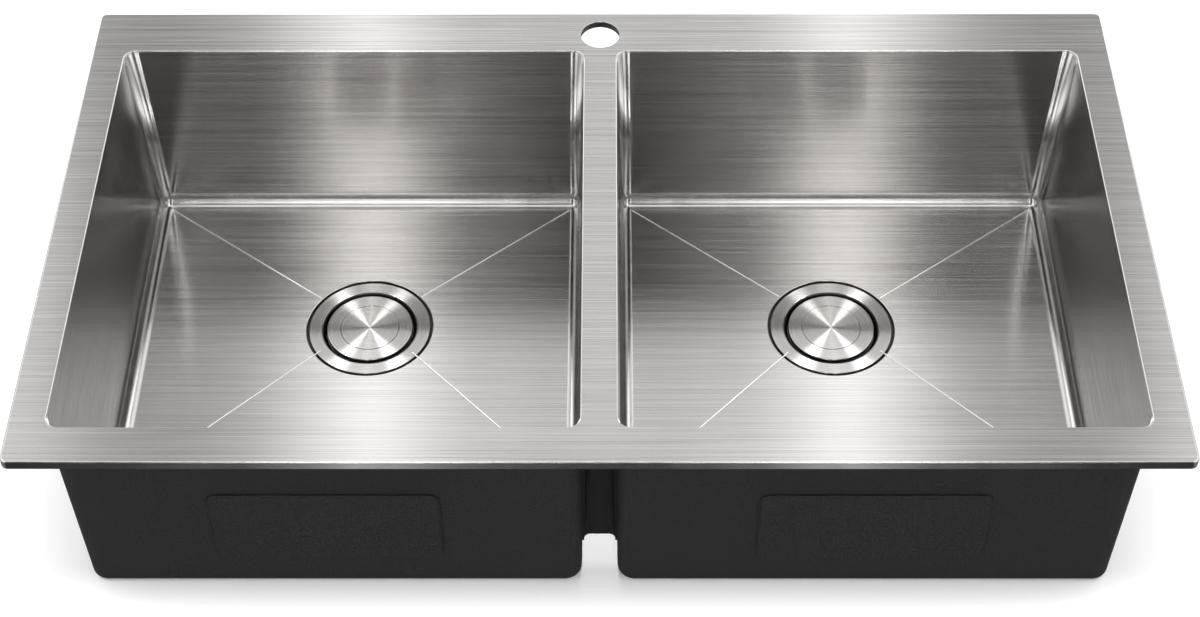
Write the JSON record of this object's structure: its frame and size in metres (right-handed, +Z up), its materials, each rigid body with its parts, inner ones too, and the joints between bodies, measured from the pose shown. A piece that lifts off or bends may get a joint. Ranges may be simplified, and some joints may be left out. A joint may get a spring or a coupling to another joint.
{
  "type": "double bowl kitchen sink",
  "caption": "Drop-in kitchen sink with two square-cornered steel bowls side by side, a tap hole in the rear deck and a lift-out basket strainer in each bowl.",
  "frame": {"origin": "middle of the rim's outline, at the level of the worktop the rim rests on", "axes": "+X to the right, +Y to the back where the tap hole is, +Z up out of the bowls"},
  "size_m": [0.9144, 0.5216, 0.2604],
  "materials": {
    "deck_steel": "brushed left to right",
    "bowl_steel": "brushed, bends polished",
    "strainer_steel": "turned",
    "plated_steel": "zinc plated",
    "channel_steel": "dark, matte",
    "undercoat": "sprayed, fine grain",
    "sound_pad": "matte",
    "seal_rubber": "matte",
    "stopper_rubber": "satin",
    "plastic": "moulded"
  },
  "bodies": {
    "sink": {"rim_deck": "deck_steel", "tap_hole_ring": "deck_steel", "left_front_rail": "plated_steel", "left_rear_rail": "plated_steel", "left_side_rail": "plated_steel", "right_front_rail": "plated_steel", "right_rear_rail": "plated_steel", "right_side_rail": "plated_steel", "front_web": "channel_steel", "rear_web": "channel_steel", "left_bowl": "bowl_steel", "left_front_pad": "sound_pad", "left_rear_pad": "sound_pad", "left_side_pad": "sound_pad", "left_bottom_pad": "sound_pad", "left_undercoat": "undercoat", "left_flange_seal": "seal_rubber", "left_strainer_body": "strainer_steel", "left_outlet_tail": "strainer_steel", "left_gasket": "seal_rubber", "left_slip_washer": "plastic", "left_locknut": "plastic", "right_bowl": "bowl_steel", "right_front_pad": "sound_pad", "right_rear_pad": "sound_pad", "right_side_pad": "sound_pad", "right_bottom_pad": "sound_pad", "right_undercoat": "undercoat", "right_flange_seal": "seal_rubber", "right_strainer_body": "strainer_steel", "right_outlet_tail": "strainer_steel", "right_gasket": "seal_rubber", "right_slip_washer": "plastic", "right_locknut": "plastic"},
    "left_basket_unit": {"left_basket": "strainer_steel", "left_stem_bush": "plastic"},
    "left_plug": {"left_cap": "strainer_steel", "left_stem": "strainer_steel", "left_stopper": "stopper_rubber"},
    "right_basket_unit": {"right_basket": "strainer_steel", "right_stem_bush": "plastic"},
    "right_plug": {"right_cap": "strainer_steel", "right_stem": "strainer_steel", "right_stopper": "stopper_rubber"}
  },
  "joints": [
    {"name": "left_basket_lift", "type": "slide", "parent": "sink", "child": "left_basket_unit", "axis": [0, 0, 1], "range_m": [0, 0.25]},
    {"name": "left_plug_travel", "type": "slide", "parent": "left_basket_unit", "child": "left_plug", "axis": [0, 0, 1], "range_m": [0, 0.0055]},
    {"name": "right_basket_lift", "type": "slide", "parent": "sink", "child": "right_basket_unit", "axis": [0, 0, 1], "range_m": [0, 0.25]},
    {"name": "right_plug_travel", "type": "slide", "parent": "right_basket_unit", "child": "right_plug", "axis": [0, 0, 1], "range_m": [0, 0.0055]}
  ]
}
